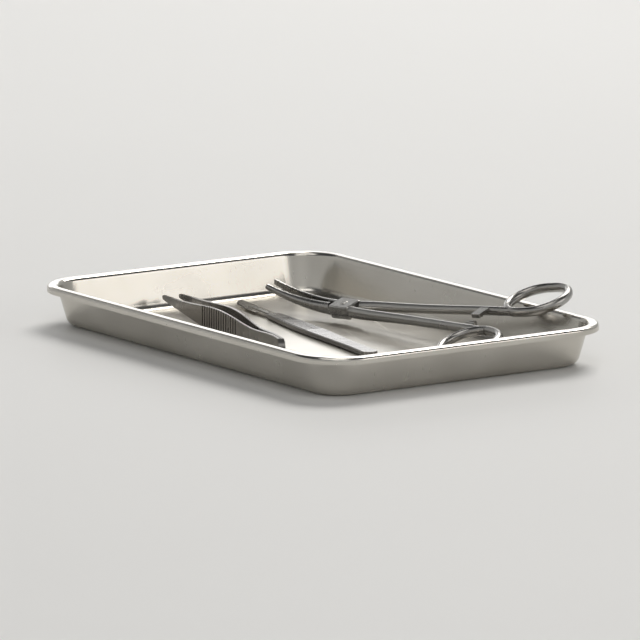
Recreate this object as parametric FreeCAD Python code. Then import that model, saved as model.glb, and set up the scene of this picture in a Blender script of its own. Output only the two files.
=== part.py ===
import FreeCAD, Part
import math
import os

from FreeCAD import Placement, Rotation, Vector

# Rectangular instrument tray in stainless steel, with the three hand instruments that lie in it.
# Millimetres, +Z up. The origin is the centre of the tray's underside, +X runs along its long side.

# --- tray -------------------------------------------------------------------------------------
TRAY_LENGTH = 225.0
TRAY_WIDTH = 150.0
TRAY_HEIGHT = 18.0
SHEET = 0.8                  # gauge of the pressed sheet
RIM_CORNER_R = 22.0          # outer plan radius of the rim
WALL_FLARE = 16.0            # degrees the wall leans outwards from upright
FLOOR_BEND_R = 4.0           # inside radius between floor and wall
RIM_BEND_R = 1.2             # inside radius between wall and flat rim
RIM_FLAT = 1.8               # flat width of the rim
HEM_BEND_R = 0.7             # inside radius of the turned-down edge
HEM_DROP = 1.4               # straight part of the turned-down edge

# --- artery forceps ---------------------------------------------------------------------------
# Own frame: origin at the pivot, +X towards the finger rings, +Y to one ring, +Z up out of the plane.
ARTERY_PIVOT = Vector(-33.0, 36.0, 6.6)
ARTERY_YAW = 5.3
ARTERY_RISE = 3.8            # degrees the shanks climb towards the rings
ARTERY_ROLL = 18.8           # degrees the far ring is tipped up over the tray's rim
ARTERY_OPEN = 5.0            # degrees the halves stand apart as they lie
JAW_LENGTH = 47.0
JAW_FROM = 3.0               # the jaw's root lies inside the lock
JAW_BLUNT = 1.2              # the tip is cut back by this much and rounded
JAW_TIP_R = 0.45
JAW_SECTIONS = 5
JAW_CURVE_R = 112.0          # the jaws curve up on this radius
JAW_GAP = 0.16               # between the closed jaws, for the teeth to mesh in
JAW_WIDTH = (3.9, 1.5)       # one jaw, root and tip
JAW_HALF_THICK = (2.9, 1.15)
JAW_FULLNESS = 0.78          # how far the round back reaches at 45 degrees
LOCK_HALF = Vector(6.4, 4.4, 3.0)   # half sizes of the box lock
LOCK_CORNER_R = 1.4
LOCK_CHAMFER = 0.5
LOCK_SWEEP_R = 8.0           # everything thicker than the tongue stays outside this radius
JAW_TEETH = (LOCK_SWEEP_R + 2.0, JAW_LENGTH - 2.5)   # from, to
JAW_TOOTH_PITCH = 1.15
JAW_TOOTH_DEPTH = 0.3
TONGUE_HALF = 1.1            # half thickness of the male tongue
TONGUE_HUB_R = 4.1
TONGUE_BAR = (7.2, 3.4)      # length and width of the two bars that leave the hub
TONGUE_BARS_AT = ((-4.6, -1.9), (4.6, 1.7))          # middles of the jaw's bar and the shank's bar
LOCK_PLAY = 0.05             # clearance each side of the tongue
PIN_R = 1.7
PIN_PLAY = 0.04
PIN_DOME = 0.25
RING_CENTRE = (100.0, 17.0)
RING_MID_R = 12.0            # to the middle of the ring's section
RING_STRAIGHT = 1.8          # half length of the ring's straight sides
RING_SECTION = (1.75, 2.1)   # half width in plane, half thickness
RING_TURN = 10.0             # degrees the oval is turned outwards
SHANK_STATIONS = (           # along, across, half width, half thickness
    (4.0, 1.9, 2.4, 2.7), (10.0, 2.65, 2.2, 2.6), (30.0, 3.2, 2.1, 2.3),
    (60.0, 3.9, 1.9, 2.1), (84.0, 4.9, 1.8, 2.05), (98.0, 5.2, 1.6, 1.95))
RATCHET_AT = 81.0
RATCHET_WIDTH = 5.0
RATCHET_HALF_THICK = 1.9
RATCHET_REACH = 2.6          # past the middle line
RATCHET_PLAY = 0.12
RATCHET_CORNER_R = 0.5
RATCHET_TEETH = 3
RATCHET_PITCH = 1.5
RATCHET_FIRST = 0.9          # from the end of the arm to the first notch
RATCHET_NOTCH = 0.4          # depth

# --- dissecting forceps -----------------------------------------------------------------------
# Own frame: origin at the heel, +X towards the tips, +Y across the two arms, +Z across their width.
THUMB_HEEL = Vector(26.0, -37.0, 6.05)
THUMB_YAW = 168.2
THUMB_RISE = 0.6
THUMB_LENGTH = 125.0
THUMB_WELD = 6.0             # length over which the arms are joined
THUMB_SEAM = 0.02            # half gap at the weld
THUMB_ARM = (                # along, inner face from the middle, thickness
    (0.0, THUMB_SEAM, 1.5), (THUMB_WELD, THUMB_SEAM, 1.5), (36.0, 1.7, 1.3),
    (72.0, 3.1, 1.4), (105.0, 3.5, 1.6), (THUMB_LENGTH, 3.1, 1.4))
THUMB_HALF_WIDTH = (         # along, half width
    (2.0, 4.1), (10.0, 4.5), (27.0, 3.7), (50.0, 5.2), (64.0, 5.6),
    (80.0, 4.5), (100.0, 2.6), (117.0, 1.5), (THUMB_LENGTH - 1.0, 1.0))
THUMB_EDGE_R = 0.3
THUMB_GRIP = (44.0, 78.0)
THUMB_GRIP_GROOVES = 15
GRIP_GROOVE = (0.9, 0.35)    # width, depth
GRIP_LEAN = 3.0              # degrees the grooves turn to follow the bowed outer face
THUMB_TEETH_FROM = 111.0
THUMB_TEETH = 11
THUMB_TOOTH_PITCH = 1.1
THUMB_TOOTH = (0.5, 0.3)     # width, depth

# --- scalpel ----------------------------------------------------------------------------------
# Own frame: origin under the blade's point, +X towards the end of the handle, flat on the floor.
SCALPEL_POINT = Vector(-97.0, 21.5, SHEET + 0.12)
SCALPEL_YAW = -9.2
HANDLE_THICK = 2.2
HANDLE_FROM = 40.0
HANDLE_TO = 139.0
HANDLE_HALF_WIDTH = ((HANDLE_FROM, 2.9), (48.0, 3.5), (64.0, 4.4), (100.0, 3.9), (135.0, 3.5))
HANDLE_CHAMFER = 0.35
HANDLE_GRIP = (52.0, 80.0)
HANDLE_GRIP_GROOVES = 12
HANDLE_GROOVE = (0.9, 0.25)  # width, depth
HANDLE_LONG_EDGE = 15.0      # only the two long outlines are longer than this
TONGUE_FROM = 14.0
TONGUE_ROOT = 1.0            # the tongue runs this far into the handle
TONGUE_HALF_WIDTH = 1.9
TONGUE_THICK = 0.9
RIB_PROUD = 0.35             # the rib stands this far out of the blade's slot
BLADE_THICK = 0.4
BLADE_LENGTH = 39.0
BLADE_SPINE = (3.5, 3.3)     # where the straight spine begins: along, across
BLADE_BELLY = (              # along, across, from the point to the straight cutting edge
    (0.4, 2.4), (3.0, 0.2), (8.0, -2.4), (14.0, -3.4), (20.0, -3.6))
BLADE_EDGE_TO = 28.0
BLADE_FOOT = (30.0, 36.0, -2.6)     # from, to, across
BLADE_GROUND = 0.85          # width of the ground strip along the cutting edge
BLADE_LAND = 0.1             # thickness left at the cutting edge
SLOT = (17.0, 36.0, 1.15)    # from, to, half width
SLOT_PLAY = 0.03

X, Y, Z = Vector(1, 0, 0), Vector(0, 1, 0), Vector(0, 0, 1)
ORIGIN = Vector(0, 0, 0)
CUT = 20.0                   # length of the tools that cut right through an instrument
TOUCH = 0.01                 # faces nearer than this are level
UPRIGHT = 0.9                # least Z share of an upright edge's direction


# --- helpers ----------------------------------------------------------------------------------
def line(a, b):
    return Part.LineSegment(a, b).toShape()


def spline(points):
    curve = Part.BSplineCurve()
    curve.interpolate(points)
    return curve.toShape()


def face_of(edges):
    return Part.Face(Part.Wire(Part.__sortEdges__(edges)))


def bent_strip(start, steps, thickness):
    """Face of a bent strip in the XZ plane, from runs (length,) and bends (degrees, inside radius)."""
    point, heading, half = start, 0.0, thickness / 2
    sides = {1: [], -1: []}
    for step in steps:
        along = Vector(math.cos(heading), 0, math.sin(heading))
        left = Vector(-along.z, 0, along.x)
        if len(step) == 1:
            end = point + along * step[0]
            for side, edges in sides.items():
                edges.append(line(point + left * half * side, end + left * half * side))
            point = end
            continue
        turn = math.radians(step[0])
        hand = math.copysign(1, turn)
        centre = point + left * (step[1] + half) * hand
        spoke = point - centre
        turns = [Rotation(Y, -step[0] * share) for share in (0, 0.5, 1)]
        for side, edges in sides.items():
            scale = (step[1] + half - half * side * hand) / spoke.Length
            edges.append(Part.Arc(*[centre + turned.multVec(spoke) * scale for turned in turns]).toShape())
        point = centre + turns[-1].multVec(spoke)
        heading += turn
    first = [edges[0].Vertexes[0].Point for edges in sides.values()]
    last = [edges[-1].Vertexes[-1].Point for edges in sides.values()]
    return face_of(sides[1] + sides[-1] + [line(*first), line(*last)])


def slab(face, direction, length):
    """Solid made by spreading a face both ways along a direction."""
    moved = face.copy()
    moved.translate(direction * (-length / 2))
    return moved.extrude(direction * length)


def box_at(centre, size):
    corner = centre - size * 0.5
    return Part.makeBox(size.x, size.y, size.z, corner)


def between(table, at, column):
    """Linear reading of a table whose first column is the place."""
    for low, high in zip(table, table[1:]):
        if at <= high[0]:
            share = (at - low[0]) / (high[0] - low[0])
            return low[column] + share * (high[column] - low[column])
    return table[-1][column]


def ellipse_wire(centre, normal, major_dir, half_major, half_minor):
    """Ellipse across a path: its wider axis along major_dir."""
    if half_major < half_minor:
        major_dir, half_major, half_minor = normal.cross(major_dir), half_minor, half_major
    side = normal.cross(major_dir)
    ellipse = Part.Ellipse(centre + major_dir * half_major, centre + side * half_minor, centre)
    return Part.Wire([ellipse.toShape()])


def upright_edges(shape):
    return [e for e in shape.Edges if abs(e.tangentAt(e.FirstParameter).z) > UPRIGHT]


def mirrored(shape):
    return shape.mirror(ORIGIN, Y)


def one_solid(shape):
    """The single solid of a fused shape, cleaned of split faces."""
    clean = shape.removeSplitter()
    if len(clean.Solids) != 1 or not clean.isValid():
        raise RuntimeError("expected one valid solid, got %d" % len(clean.Solids))
    return clean.Solids[0]


# --- tray -------------------------------------------------------------------------------------
def tray_pan():
    """Drawn pan: flat floor, flared wall, flat rim and turned-down edge, all one sheet."""
    turn = 90.0 - WALL_FLARE
    lean = math.radians(turn)
    bends = FLOOR_BEND_R + RIM_BEND_R + SHEET
    wall = (TRAY_HEIGHT - SHEET - bends * (1 - math.cos(lean))) / math.sin(lean)
    hem = HEM_BEND_R + SHEET
    run_out = bends * math.sin(lean) + wall * math.cos(lean) + RIM_FLAT + hem
    steps = ((RIM_CORNER_R - run_out,), (turn, FLOOR_BEND_R), (wall,), (-turn, RIM_BEND_R),
             (RIM_FLAT,), (-90.0, HEM_BEND_R), (HEM_DROP,))
    section = bent_strip(Vector(0, 0, SHEET / 2), steps, SHEET)
    inner = Vector(TRAY_LENGTH / 2 - RIM_CORNER_R, TRAY_WIDTH / 2 - RIM_CORNER_R, 0)
    pieces = []
    for quarter, (sx, sy) in enumerate(((1, 1), (-1, 1), (-1, -1), (1, -1))):
        centre = Vector(sx * inner.x, sy * inner.y, 0)
        placed = section.copy()
        placed.Placement = Placement(centre, Rotation(Z, 90.0 * quarter))
        pieces.append(placed.revolve(centre, Z, 90.0))
        side = Rotation(Z, 90.0 * quarter).multVec(-Y)
        pieces.append(placed.extrude(side * 2 * (inner.y if quarter % 2 == 0 else inner.x)))
    floor = Part.makeBox(2 * inner.x, 2 * inner.y, SHEET, Vector(-inner.x, -inner.y, 0))
    return one_solid(floor.multiFuse(pieces))


# --- artery forceps ---------------------------------------------------------------------------
def jaw_place(along):
    """Middle of the jaw and the direction of its thickness, a distance out along the curve."""
    angle = along / JAW_CURVE_R
    centre = Vector(-JAW_CURVE_R * math.sin(angle), 0, JAW_CURVE_R * (1 - math.cos(angle)))
    return centre, Vector(math.sin(angle), 0, math.cos(angle))


def jaw_section(along):
    """D-shaped section: flat inner face, round back on the -Y side."""
    share = along / JAW_LENGTH
    width = JAW_WIDTH[0] + (JAW_WIDTH[1] - JAW_WIDTH[0]) * share
    thick = JAW_HALF_THICK[0] + (JAW_HALF_THICK[1] - JAW_HALF_THICK[0]) * share
    centre, up = jaw_place(along)
    middle = centre - Y * (JAW_GAP / 2)
    low, high = middle - up * thick, middle + up * thick
    shoulder = middle - Y * width * JAW_FULLNESS
    rise = up * thick * JAW_FULLNESS
    round_back = spline([high, shoulder + rise, middle - Y * width, shoulder - rise, low])
    return Part.Wire([line(low, high), round_back])


def jaw():
    """Curved, tapered jaw of the half whose ring is on +Y, with cross teeth on its flat face."""
    end = JAW_LENGTH - JAW_BLUNT
    stations = [JAW_FROM + (end - JAW_FROM) * n / (JAW_SECTIONS - 1) for n in range(JAW_SECTIONS)]
    body = Part.makeLoft([jaw_section(station) for station in stations], True, False)
    tip = min(body.Faces, key=lambda face: face.CenterOfMass.x)
    body = body.makeFillet(JAW_TIP_R, tip.Edges)
    first, last = JAW_TEETH
    teeth = []
    for number in range(int((last - first) / JAW_TOOTH_PITCH)):
        along = first + number * JAW_TOOTH_PITCH
        groove = box_at(ORIGIN, Vector(JAW_TOOTH_PITCH / 2, 2 * JAW_TOOTH_DEPTH, CUT))
        groove.Placement = Placement(jaw_place(along)[0] - Y * (JAW_GAP / 2),
                                     Rotation(Y, math.degrees(along / JAW_CURVE_R)))
        teeth.append(groove)
    return body.cut(Part.makeCompound(teeth))


def finger_ring():
    """Oval ring of the +Y side, built from two half rings and two short bars."""
    def section(x, y):
        wire = ellipse_wire(Vector(x, y, 0), X, Z, RING_SECTION[1], RING_SECTION[0])
        return Part.Face(wire)
    pieces = []
    for end in (1, -1):
        start = section(end * RING_STRAIGHT, RING_MID_R)
        pieces.append(start.revolve(Vector(end * RING_STRAIGHT, 0, 0), Z, -180.0 * end))
        pieces.append(section(-RING_STRAIGHT, end * RING_MID_R).extrude(X * 2 * RING_STRAIGHT))
    ring = pieces[0].multiFuse(pieces[1:])
    ring.Placement = Placement(Vector(*RING_CENTRE, 0), Rotation(Z, RING_TURN))
    return ring


def shank():
    wires = []
    for number, (along, across, half_width, half_thick) in enumerate(SHANK_STATIONS):
        before = SHANK_STATIONS[max(number - 1, 0)]
        after = SHANK_STATIONS[min(number + 1, len(SHANK_STATIONS) - 1)]
        heading = Vector(after[0] - before[0], after[1] - before[1], 0).normalize()
        wires.append(ellipse_wire(Vector(along, across, 0), heading, Z, half_thick, half_width))
    return Part.makeLoft(wires, True, False)


def ratchet(level):
    """Ratchet arm reaching in from the +Y shank, above (level 1) or below (level -1) the other."""
    reach = between(SHANK_STATIONS, RATCHET_AT, 1) + RATCHET_REACH
    thick = RATCHET_HALF_THICK - RATCHET_PLAY
    middle = Vector(RATCHET_AT, reach / 2 - RATCHET_REACH, level * (RATCHET_PLAY + thick / 2))
    arm = box_at(middle, Vector(RATCHET_WIDTH, reach, thick))
    arm = arm.makeFillet(RATCHET_CORNER_R, upright_edges(arm))
    notches = []
    for number in range(RATCHET_TEETH):
        across = -RATCHET_REACH + RATCHET_FIRST + number * RATCHET_PITCH
        notches.append(box_at(Vector(RATCHET_AT, across, level * RATCHET_PLAY),
                              Vector(CUT, RATCHET_PITCH / 2, 2 * RATCHET_NOTCH)))
    return arm.cut(Part.makeCompound(notches))


def lock_block():
    block = box_at(ORIGIN, LOCK_HALF * 2)
    block = block.makeFillet(LOCK_CORNER_R, upright_edges(block))
    rims = [e for e in block.Edges if abs(abs(e.CenterOfMass.z) - LOCK_HALF.z) < TOUCH]
    return block.makeChamfer(LOCK_CHAMFER, rims)


def sweep_layer(half_thick):
    return Part.makeCylinder(LOCK_SWEEP_R, 2 * half_thick, Z * -half_thick)


def pin_hole(radius):
    return Part.makeCylinder(radius, CUT, Z * -CUT / 2)


def artery_half(level):
    """Jaw, shank, ratchet arm and finger ring of the +Y half, before its part of the lock is cut."""
    return jaw().multiFuse([shank(), ratchet(level), finger_ring()])


def artery_male_half():
    """Half whose thin tongue passes through the lock: its ring is on +Y and its jaw on -Y."""
    body = artery_half(1)
    outside = sweep_layer(CUT / 2).cut(sweep_layer(TONGUE_HALF))
    tongue = Part.makeCylinder(TONGUE_HUB_R, 2 * TONGUE_HALF, Z * -TONGUE_HALF)
    for along, across in TONGUE_BARS_AT:
        tongue = tongue.fuse(box_at(Vector(along, across, 0), Vector(*TONGUE_BAR, 2 * TONGUE_HALF)))
    return one_solid(body.cut(outside).fuse(tongue).cut(pin_hole(PIN_R + PIN_PLAY)))


def artery_female_half():
    """Half with the two cheeks of the lock: its ring is on -Y and its jaw on +Y."""
    body = mirrored(artery_half(-1)).fuse(lock_block())
    slot = sweep_layer(TONGUE_HALF + LOCK_PLAY)
    return one_solid(body.cut(slot).cut(pin_hole(PIN_R)))


def artery_pivot_pin():
    """Rivet through both cheeks and the tongue, with lightly domed ends."""
    length = 2 * LOCK_HALF.z
    pin = Part.makeCylinder(PIN_R, length, Z * -LOCK_HALF.z)
    for end in (1, -1):
        top = PIN_R - PIN_DOME
        dome = Part.makeCone(PIN_R, top, PIN_DOME, Z * end * LOCK_HALF.z, Z * end)
        pin = pin.fuse(dome)
    return one_solid(pin)


# --- dissecting forceps -----------------------------------------------------------------------
def thumb_arm():
    """One spring arm on the +Y side: bowed strip, leaf-shaped width, grooved grip, toothed tip."""
    inner = [Vector(along, face, 0) for along, face, _ in THUMB_ARM]
    outer = [Vector(along, face + thick, 0) for along, face, thick in THUMB_ARM]
    side = face_of([line(inner[0], inner[1]), spline(inner[1:]), line(inner[-1], outer[-1]),
                    spline(outer[1:]), line(outer[1], outer[0]), line(outer[0], inner[0])])
    upper = [Vector(a, 0, w) for a, w in THUMB_HALF_WIDTH]
    lower = [Vector(a, 0, -w) for a, w in THUMB_HALF_WIDTH]
    heel = Part.Arc(lower[0], ORIGIN, upper[0]).toShape()
    tip = Part.Arc(upper[-1], Vector(THUMB_LENGTH, 0, 0), lower[-1]).toShape()
    leaf = face_of([spline(upper), tip, spline(lower), heel])
    arm = slab(side, Z, CUT).common(slab(leaf, Y, CUT))
    arm = arm.makeFillet(THUMB_EDGE_R, [e for e in arm.Edges if e.Length > THUMB_LENGTH / 2])
    width, depth = GRIP_GROOVE
    grooves = []
    for number in range(THUMB_GRIP_GROOVES):
        along = THUMB_GRIP[0] + (THUMB_GRIP[1] - THUMB_GRIP[0]) * number / (THUMB_GRIP_GROOVES - 1)
        face = between(THUMB_ARM, along, 1) + between(THUMB_ARM, along, 2)
        tool = box_at(ORIGIN, Vector(width, 2 * depth, CUT))
        tool.Placement = Placement(Vector(along, face, 0), Rotation(Z, GRIP_LEAN))
        grooves.append(tool)
    width, depth = THUMB_TOOTH
    for number in range(THUMB_TEETH):
        along = THUMB_TEETH_FROM + number * THUMB_TOOTH_PITCH
        face = between(THUMB_ARM, along, 1)
        grooves.append(box_at(Vector(along, face, 0), Vector(width, 2 * depth, CUT)))
    return one_solid(arm.cut(Part.makeCompound(grooves)))


# --- scalpel ----------------------------------------------------------------------------------
def scalpel_handle():
    """Flat handle with a grooved grip, a stepped tongue and the rib that the blade's slot fits over."""
    upper = [Vector(a, w, 0) for a, w in HANDLE_HALF_WIDTH]
    lower = [Vector(a, -w, 0) for a, w in HANDLE_HALF_WIDTH]
    butt = Part.Arc(upper[-1], Vector(HANDLE_TO, 0, 0), lower[-1]).toShape()
    outline = face_of([spline(upper), butt, spline(lower), line(lower[0], upper[0])])
    body = outline.extrude(Z * HANDLE_THICK)
    rims = [e for e in body.Edges if e.Length > HANDLE_LONG_EDGE]
    body = body.makeChamfer(HANDLE_CHAMFER, rims)
    tongue = Part.makeBox(HANDLE_FROM - TONGUE_FROM + TONGUE_ROOT, 2 * TONGUE_HALF_WIDTH, TONGUE_THICK,
                          Vector(TONGUE_FROM, -TONGUE_HALF_WIDTH, 0))
    rib_from, rib_to, half = SLOT
    rib = Part.makeBox(rib_to - rib_from - 2 * SLOT_PLAY, 2 * (half - SLOT_PLAY), BLADE_THICK + RIB_PROUD,
                       Vector(rib_from + SLOT_PLAY, SLOT_PLAY - half, TONGUE_THICK))
    width, depth = HANDLE_GROOVE
    grooves = []
    for number in range(HANDLE_GRIP_GROOVES):
        along = HANDLE_GRIP[0] + (HANDLE_GRIP[1] - HANDLE_GRIP[0]) * number / (HANDLE_GRIP_GROOVES - 1)
        for level in (0, HANDLE_THICK):
            grooves.append(box_at(Vector(along, 0, level), Vector(width, CUT, 2 * depth)))
    return one_solid(body.fuse([tongue, rib]).cut(Part.makeCompound(grooves)))


def blade_outline(inset, level):
    """Outline of the blade at a height, with its cutting edge moved in except at the point."""
    belly = []
    for number, (along, across) in enumerate(BLADE_BELLY):
        before = BLADE_BELLY[max(number - 1, 0)]
        after = BLADE_BELLY[min(number + 1, len(BLADE_BELLY) - 1)]
        heading = Vector(after[0] - before[0], after[1] - before[1], 0).normalize()
        depth = inset if number > 0 else 0.0
        belly.append(Vector(along, across, level) + Z.cross(heading) * depth)
    edge_to = Vector(BLADE_EDGE_TO, BLADE_BELLY[-1][1] + inset, level)
    foot_from, foot_to = (Vector(along, BLADE_FOOT[2], level) for along in BLADE_FOOT[:2])
    spine_to = Vector(BLADE_LENGTH, BLADE_SPINE[1], level)
    spine_from = Vector(*BLADE_SPINE, level)
    corners = [belly[-1], edge_to, foot_from, foot_to, spine_to, spine_from, belly[0]]
    return Part.Wire([spline(belly)] + [line(a, b) for a, b in zip(corners, corners[1:])])


def scalpel_blade():
    """Round-bellied blade, ground from both faces, with the keyed slot that snaps over the rib."""
    low, high = (BLADE_THICK - BLADE_LAND) / 2, (BLADE_THICK + BLADE_LAND) / 2
    levels = ((BLADE_GROUND, 0.0), (0.0, low), (0.0, high), (BLADE_GROUND, BLADE_THICK))
    blade = Part.makeLoft([blade_outline(inset, level) for inset, level in levels], True, True)
    slot_middle = Vector((SLOT[0] + SLOT[1]) / 2, 0, 0)
    blade = blade.cut(box_at(slot_middle, Vector(SLOT[1] - SLOT[0], 2 * SLOT[2], CUT)))
    blade.translate(Z * TONGUE_THICK)
    return one_solid(blade)


# --- places -----------------------------------------------------------------------------------
ARTERY = Placement(ARTERY_PIVOT, Rotation(ARTERY_YAW, -ARTERY_RISE, ARTERY_ROLL))
THUMB = Placement(THUMB_HEEL, Rotation(THUMB_YAW, -THUMB_RISE, 0))
SCALPEL = Placement(SCALPEL_POINT, Rotation(SCALPEL_YAW, 0, 0))
OPENED = ARTERY.multiply(Placement(ORIGIN, Rotation(Z, ARTERY_OPEN)))

NODES = {
    "tray_pan": (tray_pan(), Placement()),
    "artery_female_half": (artery_female_half(), ARTERY),
    "artery_male_half": (artery_male_half(), OPENED),
    "artery_pivot_pin": (artery_pivot_pin(), ARTERY),
    "thumb_forceps_left_arm": (thumb_arm(), THUMB),
    "thumb_forceps_right_arm": (mirrored(thumb_arm()), THUMB),
    "scalpel_handle": (scalpel_handle(), SCALPEL),
    "scalpel_blade": (scalpel_blade(), SCALPEL),
}

os.makedirs("parts", exist_ok=True)
for name, (shape, place) in NODES.items():
    placed = shape.copy()
    placed.Placement = place.multiply(placed.Placement)
    placed.exportStep("parts/%s.step" % name)
    print(name, len(placed.Solids), round(placed.Volume, 1), placed.isValid())
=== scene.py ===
import math

import bpy
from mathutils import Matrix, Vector


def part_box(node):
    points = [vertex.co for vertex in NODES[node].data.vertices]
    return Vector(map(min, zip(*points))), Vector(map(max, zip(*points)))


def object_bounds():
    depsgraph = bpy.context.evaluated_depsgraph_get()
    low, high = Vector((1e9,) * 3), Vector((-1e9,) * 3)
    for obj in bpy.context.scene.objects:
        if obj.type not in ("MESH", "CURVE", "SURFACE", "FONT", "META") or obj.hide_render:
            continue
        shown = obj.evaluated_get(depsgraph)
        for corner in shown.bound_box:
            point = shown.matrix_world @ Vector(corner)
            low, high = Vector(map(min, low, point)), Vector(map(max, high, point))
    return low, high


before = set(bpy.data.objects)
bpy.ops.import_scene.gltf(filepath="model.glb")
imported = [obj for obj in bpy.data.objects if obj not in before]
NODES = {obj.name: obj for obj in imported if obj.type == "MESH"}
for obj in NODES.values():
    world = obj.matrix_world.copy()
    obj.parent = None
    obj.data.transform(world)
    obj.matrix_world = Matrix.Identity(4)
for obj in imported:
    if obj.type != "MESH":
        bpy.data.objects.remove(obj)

CAD_BOX = [list(corner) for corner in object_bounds()]
MM = 0.001

# --- view: degrees, metres, and millimetres for the lens -----------------------------------------
VIEW_AZIMUTH = 55.6
VIEW_ELEVATION = 10.5
VIEW_DISTANCE = 3.99
VIEW_HEIGHT = 0.38           # aimed at this share of the object's height
LENS_MM = 530.0
SENSOR_MM = 36.0
CLIP_START = 0.05
CLIP_END = 400.0
EXPOSURE = -0.78

# --- colours, linear ---------------------------------------------------------------------------
WARM_STEEL = (0.68, 0.655, 0.605)
WARM_STEEL_DARK = (0.58, 0.555, 0.505)
GREY_STEEL = (0.47, 0.46, 0.44)
GREY_STEEL_DARK = (0.36, 0.35, 0.335)
# painted shade: a darker copy of the grey steel, standing in for the dark reflections on the thumb
# forceps and scalpel handle
PAINTED_SHADE_STEEL = (0.36, 0.35, 0.335)
PAINTED_SHADE_STEEL_DARK = (0.25, 0.24, 0.23)
FLOOR_PALE = (0.80, 0.80, 0.79)

# --- brushed steel: patterns are in features per metre -------------------------------------------
GRAIN_STRETCH = 0.02         # features along the grain, as a share of those across it
GRAIN_DETAIL = 6.0
GRAIN_HARSHNESS = 0.72
GRAIN_IN_SHADE = 0.35
GRAIN_RELIEF = 0.6
CLOUDS = (24.0, 30.0, 60.0)
CLOUD_DETAIL = 1.5
CLOUD_WARP = 0.3
CLOUD_IN_SHADE = 0.65
CLOUD_LEVELS = (0.25, 0.75)
CLOUD_POLISH = (0.88, 1.14)  # factors on the roughness, from the polished to the dull clouds
SMEARS = (90.0, 22.0, 40.0)
SMEAR_TURN = 0.5             # radians
SMEAR_DETAIL = 1.0
SMEAR_LEVELS = (0.45, 0.80)
SMEAR_ROUGHER = 0.04
SHADE_LEVELS = (0.36, 0.64)

# --- hairline scratches: across per metre, along per metre, turn in radians, level of the peaks ----
SCRATCH_SETS = ((900.0, 12.0, 0.35, 0.70), (800.0, 16.0, -0.95, 0.71), (700.0, 20.0, 1.75, 0.72))
SCRATCH_DEEPWARD = 0.2       # features along the third axis, as a share of those across
SCRATCH_DETAIL = 1.0
SCRATCH_EDGE = 0.03
SCRATCH_ROUGHER = 0.12
SCRATCH_DEPTH = 6e-6
SCRATCH_RELIEF = 0.5
WALL_SCRATCHES = 0.15        # share of the scratches that upright faces keep
LEVEL_FACE = (0.6, 0.95)     # Z of the normal, from upright to level

# --- wear on the tray ------------------------------------------------------------------------------
RUB_STARTS = 2.2 * MM        # below the top of the rim
RUB_FULL = 0.8 * MM
RUB_LIGHTER = 0.12
RUB_SMOOTHER = 0.07
SCUFF_FULL = 0.2 * MM        # above the base
SCUFF_ENDS = 1.6 * MM
SCUFF_ROUGHER = 0.08
DROPS_PER_METRE = 62.0
DROP_RADII = (0.10, 0.26)    # shares of the spacing of the drops
DROP_LINE = 0.022
DROP_LEVELS = (0.62, 0.64)   # each place has a random level and holds a drop above these
DROP_MARK = 0.05             # darker and rougher by this much

# --- residue round the box lock --------------------------------------------------------------------
STAIN_FULL = 5.0 * MM        # distance from the pivot
STAIN_ENDS = 11.0 * MM
STAIN_BLOTCHES = (420.0, 420.0, 420.0)
STAIN_DETAIL = 4.0
STAIN_LEVELS = (0.42, 0.66)
STAIN_DARKER = 0.16
STAIN_ROUGHER = 0.14

# --- studio sweep, metres --------------------------------------------------------------------------
SWEEP_FLAT_R = 5.0
SWEEP_BEND_R = 2.0
SWEEP_HEIGHT = 5.0
SWEEP_SIDES = 96
SWEEP_STEPS = 12
SWEEP_ROUGHNESS = 0.6
SWEEP_CLOUDS = (1.5, 1.5, 1.5)
SWEEP_CLOUD_DETAIL = 2.0
SWEEP_CLOUD_LEVELS = (0.3, 0.7)
SWEEP_DARKER = 0.97
GLOW_FROM = 1.4
GLOW_STRENGTH = 0.30

# --- lights: azimuth and elevation in degrees, distance and size in metres, watts, colour ----------
AIR_COLOUR = (0.92, 0.95, 1.0)
AIR_STRENGTH = 0.10
LIGHTS = {
    "key_behind": (214.0, 48.0, 3.8, (2.2, 1.7), 148.0, (1.0, 0.98, 0.95)),
    "overhead": (40.0, 70.0, 3.6, (2.6, 2.0), 40.0, (1.0, 0.985, 0.96)),
    "front": (62.0, 40.0, 3.6, (2.0, 1.2), 9.0, (1.0, 0.98, 0.95)),
    "right": (124.0, 22.0, 3.0, (1.6, 0.9), 11.0, (1.0, 0.97, 0.93)),
    "back_strip": (242.0, 14.0, 3.6, (2.4, 0.8), 16.0, (1.0, 1.0, 1.0)),
}


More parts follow.
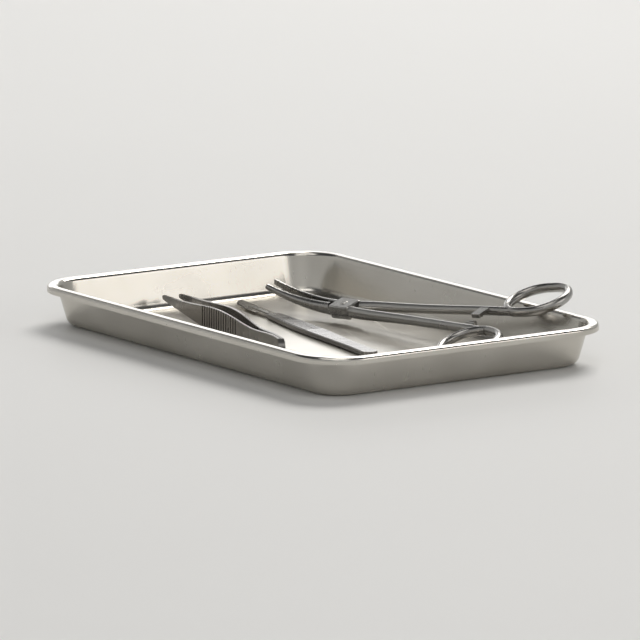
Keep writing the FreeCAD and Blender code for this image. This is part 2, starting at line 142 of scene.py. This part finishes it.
# --- node helpers ----------------------------------------------------------------------------------
class Graph:
    """A material's node tree with short calls to add, set and join nodes."""

    def __init__(self, name):
        self.material = bpy.data.materials.new(name)
        self.material.use_nodes = True
        self.tree = self.material.node_tree
        self.shader = self.tree.nodes["Principled BSDF"]
        place = self.add("ShaderNodeTexCoord")
        self.coordinates = place.outputs["Object"]
        self.normal = place.outputs["Normal"]

    def add(self, kind, values=None, **settings):
        node = self.tree.nodes.new(kind)
        for key, value in settings.items():
            setattr(node, key, value)
        for key, value in (values or {}).items():
            if isinstance(value, bpy.types.NodeSocket):
                self.tree.links.new(value, node.inputs[key])
            else:
                node.inputs[key].default_value = value
        return node

    def join(self, output, socket):
        self.tree.links.new(output, socket)

    def stretched(self, scale, turn=0.0):
        """Object coordinates turned about Z in radians, then scaled to features per metre.

        Turning the coordinates one way turns the pattern the other way.
        """
        values = {"Vector": self.coordinates, "Rotation": (0.0, 0.0, turn)}
        turned = self.add("ShaderNodeMapping", values).outputs["Vector"]
        return self.add("ShaderNodeMapping", {"Vector": turned, "Scale": scale}).outputs["Vector"]

    def noise(self, vector, detail, roughness=0.55, distortion=0.0):
        values = {"Vector": vector, "Scale": 1.0, "Detail": detail, "Roughness": roughness,
                  "Distortion": distortion}
        return self.add("ShaderNodeTexNoise", values).outputs["Fac"]

    def remap(self, value, levels, to_low, to_high):
        """Value taken from the range of levels to the range from to_low to to_high, and held there."""
        values = {"Value": value, "From Min": levels[0], "From Max": levels[1],
                  "To Min": to_low, "To Max": to_high}
        return self.add("ShaderNodeMapRange", values).outputs["Result"]

    def maths(self, operation, a, b):
        node = self.add("ShaderNodeMath", operation=operation)
        for socket, value in zip(node.inputs, (a, b)):
            if isinstance(value, bpy.types.NodeSocket):
                self.join(value, socket)
            else:
                socket.default_value = value
        return node.outputs["Value"]

    def more(self, value, mask, amount):
        """Value raised by amount where the mask is 1."""
        return self.maths("ADD", value, self.maths("MULTIPLY", mask, amount))

    def less(self, value, mask, amount):
        """Value lowered by amount where the mask is 1."""
        return self.maths("SUBTRACT", value, self.maths("MULTIPLY", mask, amount))

    def mix(self, factor, dark, light):
        node = self.add("ShaderNodeMix", data_type="RGBA")
        self.join(factor, node.inputs["Factor"])
        node.inputs["A"].default_value = (*dark, 1.0)
        node.inputs["B"].default_value = (*light, 1.0)
        return node.outputs["Result"]

    def bump(self, height, distance, strength, under=None):
        values = {"Height": height, "Distance": distance, "Strength": strength}
        if under is not None:
            values["Normal"] = under
        return self.add("ShaderNodeBump", values).outputs["Normal"]


def scratches(graph, across, along, turn, level):
    """Sparse hairlines: stretched noise of which only the peaks are kept."""
    vector = graph.stretched((along, across, across * SCRATCH_DEEPWARD), turn)
    return graph.remap(graph.noise(vector, SCRATCH_DETAIL), (level, level + SCRATCH_EDGE), 0.0, 1.0)


def facing_up(graph, least):
    """Mask that is 1 on level faces and falls to least on upright ones."""
    upward = graph.add("ShaderNodeSeparateXYZ", {"Vector": graph.normal}).outputs["Z"]
    return graph.remap(graph.maths("ABSOLUTE", upward, 0.0), LEVEL_FACE, least, 1.0)


def hairlines(graph):
    """Scratches in three directions, from wiping and from what lies on the surface."""
    first, *others = SCRATCH_SETS
    lines = scratches(graph, *first)
    for other in others:
        lines = graph.maths("MAXIMUM", lines, scratches(graph, *other))
    return graph.maths("MULTIPLY", lines, facing_up(graph, WALL_SCRATCHES))


def drop_rings(graph):
    """Mask of thin rings, left where drops dried on level faces."""
    values = {"Vector": graph.coordinates, "Scale": DROPS_PER_METRE}
    cells = graph.add("ShaderNodeTexVoronoi", values).outputs
    random = graph.add("ShaderNodeSeparateColor", {"Color": cells["Color"]}).outputs
    radius = graph.remap(random["Red"], (0.0, 1.0), *DROP_RADII)
    off_ring = graph.maths("SUBTRACT", cells["Distance"], radius)
    ring = graph.remap(graph.maths("ABSOLUTE", off_ring, 0.0), (0.0, DROP_LINE), 1.0, 0.0)
    ring = graph.maths("MULTIPLY", ring, graph.remap(random["Green"], DROP_LEVELS, 0.0, 1.0))
    return graph.maths("MULTIPLY", ring, facing_up(graph, 0.0))


def tray_wear(graph, shade, polish):
    """Rim rubbed bright by hands, foot scuffed by the table, rings left by dried drops."""
    height = graph.add("ShaderNodeSeparateXYZ", {"Vector": graph.coordinates}).outputs["Z"]
    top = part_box("tray_pan")[1][2]
    rubbed = graph.remap(height, (top - RUB_STARTS, top - RUB_FULL), 0.0, 1.0)
    scuffed = graph.remap(height, (SCUFF_FULL, SCUFF_ENDS), 1.0, 0.0)
    ring = drop_rings(graph)
    shade = graph.more(shade, rubbed, RUB_LIGHTER)
    shade = graph.less(shade, ring, DROP_MARK)
    polish = graph.less(polish, rubbed, RUB_SMOOTHER)
    polish = graph.more(polish, scuffed, SCUFF_ROUGHER)
    return shade, graph.more(polish, ring, DROP_MARK)


def lock_stain(graph, shade, polish):
    """Darker residue round the box lock, where cleaning never quite reaches."""
    low, high = (Vector(corner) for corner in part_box("artery_pivot_pin"))
    centre = (low + high) / 2
    values = {0: graph.coordinates, 1: centre}
    reach = graph.add("ShaderNodeVectorMath", values, operation="DISTANCE").outputs["Value"]
    near = graph.remap(reach, (STAIN_FULL, STAIN_ENDS), 1.0, 0.0)
    blotch = graph.noise(graph.stretched(STAIN_BLOTCHES), STAIN_DETAIL)
    stain = graph.maths("MULTIPLY", near, graph.remap(blotch, STAIN_LEVELS, 0.0, 1.0))
    return graph.less(shade, stain, STAIN_DARKER), graph.more(polish, stain, STAIN_ROUGHER)


def no_wear(graph, shade, polish):
    return shade, polish


def steel(name, light, dark, roughness, grain, grain_depth, turn=0.0, scratch=1.0, wear=no_wear):
    """Brushed stainless steel: grain lines, hairline scratches, smears and uneven polish.

    grain is in lines per metre and grain_depth in metres. turn is in degrees and turns the coordinates,
    so the grain lies at minus turn. scratch scales the hairlines, and wear adds what is particular to
    one piece.
    """
    graph = Graph(name)
    shader = graph.shader
    along_grain = graph.stretched((grain * GRAIN_STRETCH, grain, grain), math.radians(turn))
    fine = graph.noise(along_grain, GRAIN_DETAIL, roughness=GRAIN_HARSHNESS)
    cloudy = graph.noise(graph.stretched(CLOUDS), CLOUD_DETAIL, distortion=CLOUD_WARP)
    smear = graph.noise(graph.stretched(SMEARS, SMEAR_TURN), SMEAR_DETAIL)
    lines = hairlines(graph)
    shade = graph.maths("MULTIPLY", fine, GRAIN_IN_SHADE)
    shade = graph.more(shade, cloudy, CLOUD_IN_SHADE)
    polished, dull = CLOUD_POLISH
    polish = graph.remap(cloudy, CLOUD_LEVELS, roughness * polished, roughness * dull)
    polish = graph.maths("ADD", polish, graph.remap(smear, SMEAR_LEVELS, 0.0, SMEAR_ROUGHER))
    polish = graph.more(polish, lines, SCRATCH_ROUGHER * scratch)
    shade, polish = wear(graph, shade, polish)
    colour = graph.mix(graph.remap(shade, SHADE_LEVELS, 0.0, 1.0), dark, light)
    graph.join(colour, shader.inputs["Base Color"])
    graph.join(polish, shader.inputs["Roughness"])
    relief = graph.bump(fine, grain_depth, GRAIN_RELIEF)
    relief = graph.bump(lines, SCRATCH_DEPTH * scratch, SCRATCH_RELIEF, relief)
    graph.join(relief, shader.inputs["Normal"])
    shader.inputs["Metallic"].default_value = 1.0
    return graph.material


# --- studio ----------------------------------------------------------------------------------------
def sweep_outline():
    """Radius and height of the sweep from the edge of its flat middle to its top."""
    outline = [(SWEEP_FLAT_R, 0.0)]
    for step in range(1, SWEEP_STEPS + 1):
        angle = math.pi / 2 * step / SWEEP_STEPS
        radius = SWEEP_FLAT_R + SWEEP_BEND_R * math.sin(angle)
        outline.append((radius, SWEEP_BEND_R * (1 - math.cos(angle))))
    outline.append((SWEEP_FLAT_R + SWEEP_BEND_R, SWEEP_HEIGHT))
    return outline


def sweep_material():
    """Pale and almost even, with a soft glow further out, so that the backdrop stays pale."""
    graph = Graph("studio_floor")
    cloud = graph.noise(graph.stretched(SWEEP_CLOUDS), SWEEP_CLOUD_DETAIL)
    shade = graph.remap(cloud, SWEEP_CLOUD_LEVELS, 0.0, 1.0)
    darker = tuple(channel * SWEEP_DARKER for channel in FLOOR_PALE)
    graph.join(graph.mix(shade, darker, FLOOR_PALE), graph.shader.inputs["Base Color"])
    graph.shader.inputs["Roughness"].default_value = SWEEP_ROUGHNESS
    length = graph.add("ShaderNodeVectorMath", {0: graph.coordinates}, operation="LENGTH")
    away = length.outputs["Value"]
    glow = graph.remap(away, (GLOW_FROM, SWEEP_FLAT_R), 0.0, GLOW_STRENGTH)
    graph.join(glow, graph.shader.inputs["Emission Strength"])
    return graph.material


def studio_floor():
    """Floor that sweeps up into a round backdrop."""
    material = sweep_material()
    outline = sweep_outline()
    verts = [(0.0, 0.0, 0.0)]
    faces = []
    for radius, height in outline:
        for turn in range(SWEEP_SIDES):
            angle = 2 * math.pi * turn / SWEEP_SIDES
            verts.append((radius * math.cos(angle), radius * math.sin(angle), height))
    for turn in range(SWEEP_SIDES):
        after = (turn + 1) % SWEEP_SIDES
        faces.append((0, 1 + turn, 1 + after))
        for ring in range(len(outline) - 1):
            low = 1 + ring * SWEEP_SIDES
            high = low + SWEEP_SIDES
            faces.append((low + turn, high + turn, high + after, low + after))
    mesh = bpy.data.meshes.new("studio_floor")
    mesh.from_pydata(verts, [], faces)
    mesh.shade_smooth()
    mesh.materials.append(material)
    floor = bpy.data.objects.new("studio_floor", mesh)
    bpy.context.scene.collection.objects.link(floor)


def direction(azimuth, elevation):
    """Unit vector from the object towards an azimuth and elevation in degrees."""
    a = math.radians(azimuth)
    e = math.radians(elevation)
    return Vector((math.sin(a) * math.cos(e), -math.cos(a) * math.cos(e), math.sin(e)))


def add_looking(name, data, target, back, distance):
    """Object at a distance from the target along back, looking at the target."""
    thing = bpy.data.objects.new(name, data)
    thing.location = target + back * distance
    thing.rotation_mode = "QUATERNION"
    thing.rotation_quaternion = back.to_track_quat("Z", "Y")
    bpy.context.scene.collection.objects.link(thing)
    return thing


def softbox(name, azimuth, elevation, distance, size, power, colour):
    """Area light that faces the origin."""
    data = bpy.data.lights.new(name, "AREA")
    data.shape = "RECTANGLE"
    data.size, data.size_y = size
    data.energy = power
    data.color = colour
    add_looking(name, data, Vector(), direction(azimuth, elevation), distance)


def studio_light():
    world = bpy.data.worlds.new("studio_air")
    world.use_nodes = True
    air = world.node_tree.nodes["Background"]
    air.inputs["Color"].default_value = (*AIR_COLOUR, 1.0)
    air.inputs["Strength"].default_value = AIR_STRENGTH
    bpy.context.scene.world = world
    for name, settings in LIGHTS.items():
        softbox(name, *settings)


def camera():
    top = CAD_BOX[1][2]
    data = bpy.data.cameras.new("camera")
    data.lens = LENS_MM
    data.sensor_width = SENSOR_MM
    data.clip_start = CLIP_START
    data.clip_end = CLIP_END
    target = Vector((0.0, 0.0, top * VIEW_HEIGHT))
    back = direction(VIEW_AZIMUTH, VIEW_ELEVATION)
    bpy.context.scene.camera = add_looking("camera", data, target, back, VIEW_DISTANCE)


studio_floor()
studio_light()
camera()

# The turns of FORGED, SPRUNG and FLAT are near their instruments' own headings. The grain lies at
# minus turn, so it is off the instrument's axis by about twice the turn.
TRAY = steel("tray_brushed_steel", WARM_STEEL, WARM_STEEL_DARK,
             roughness=0.24, grain=2600.0, grain_depth=1.1e-5, wear=tray_wear)
FORGED = steel("forged_satin_steel", GREY_STEEL, GREY_STEEL_DARK,
               roughness=0.26, grain=3400.0, grain_depth=7e-6,
               turn=4.4, scratch=0.7, wear=lock_stain)
# The thumb forceps and the scalpel handle get the darker steel, whose colour is painted shade standing
# in for dark reflections.
SPRUNG = steel("sprung_satin_steel_painted_shade", PAINTED_SHADE_STEEL, PAINTED_SHADE_STEEL_DARK,
               roughness=0.25, grain=3400.0, grain_depth=8e-6, turn=-13.5, scratch=0.8)
FLAT = steel("handle_satin_steel_painted_shade", PAINTED_SHADE_STEEL, PAINTED_SHADE_STEEL_DARK,
             roughness=0.24, grain=3400.0, grain_depth=8e-6, turn=-8.6, scratch=0.8)
BRIGHT = steel("ground_bright_steel", WARM_STEEL, GREY_STEEL,
               roughness=0.14, grain=6000.0, grain_depth=3e-6, turn=80.0, scratch=0.4)

FINISHES = {
    "tray_pan": TRAY,
    "artery_female_half": FORGED,
    "artery_male_half": FORGED,
    "artery_pivot_pin": BRIGHT,
    "thumb_forceps_left_arm": SPRUNG,
    "thumb_forceps_right_arm": SPRUNG,
    "scalpel_handle": FLAT,
    "scalpel_blade": BRIGHT,
}
for node_name, finish in FINISHES.items():
    for material_slot in NODES[node_name].material_slots:
        material_slot.material = finish

scene = bpy.context.scene
scene.view_settings.view_transform = "Standard"
scene.view_settings.exposure = EXPOSURE
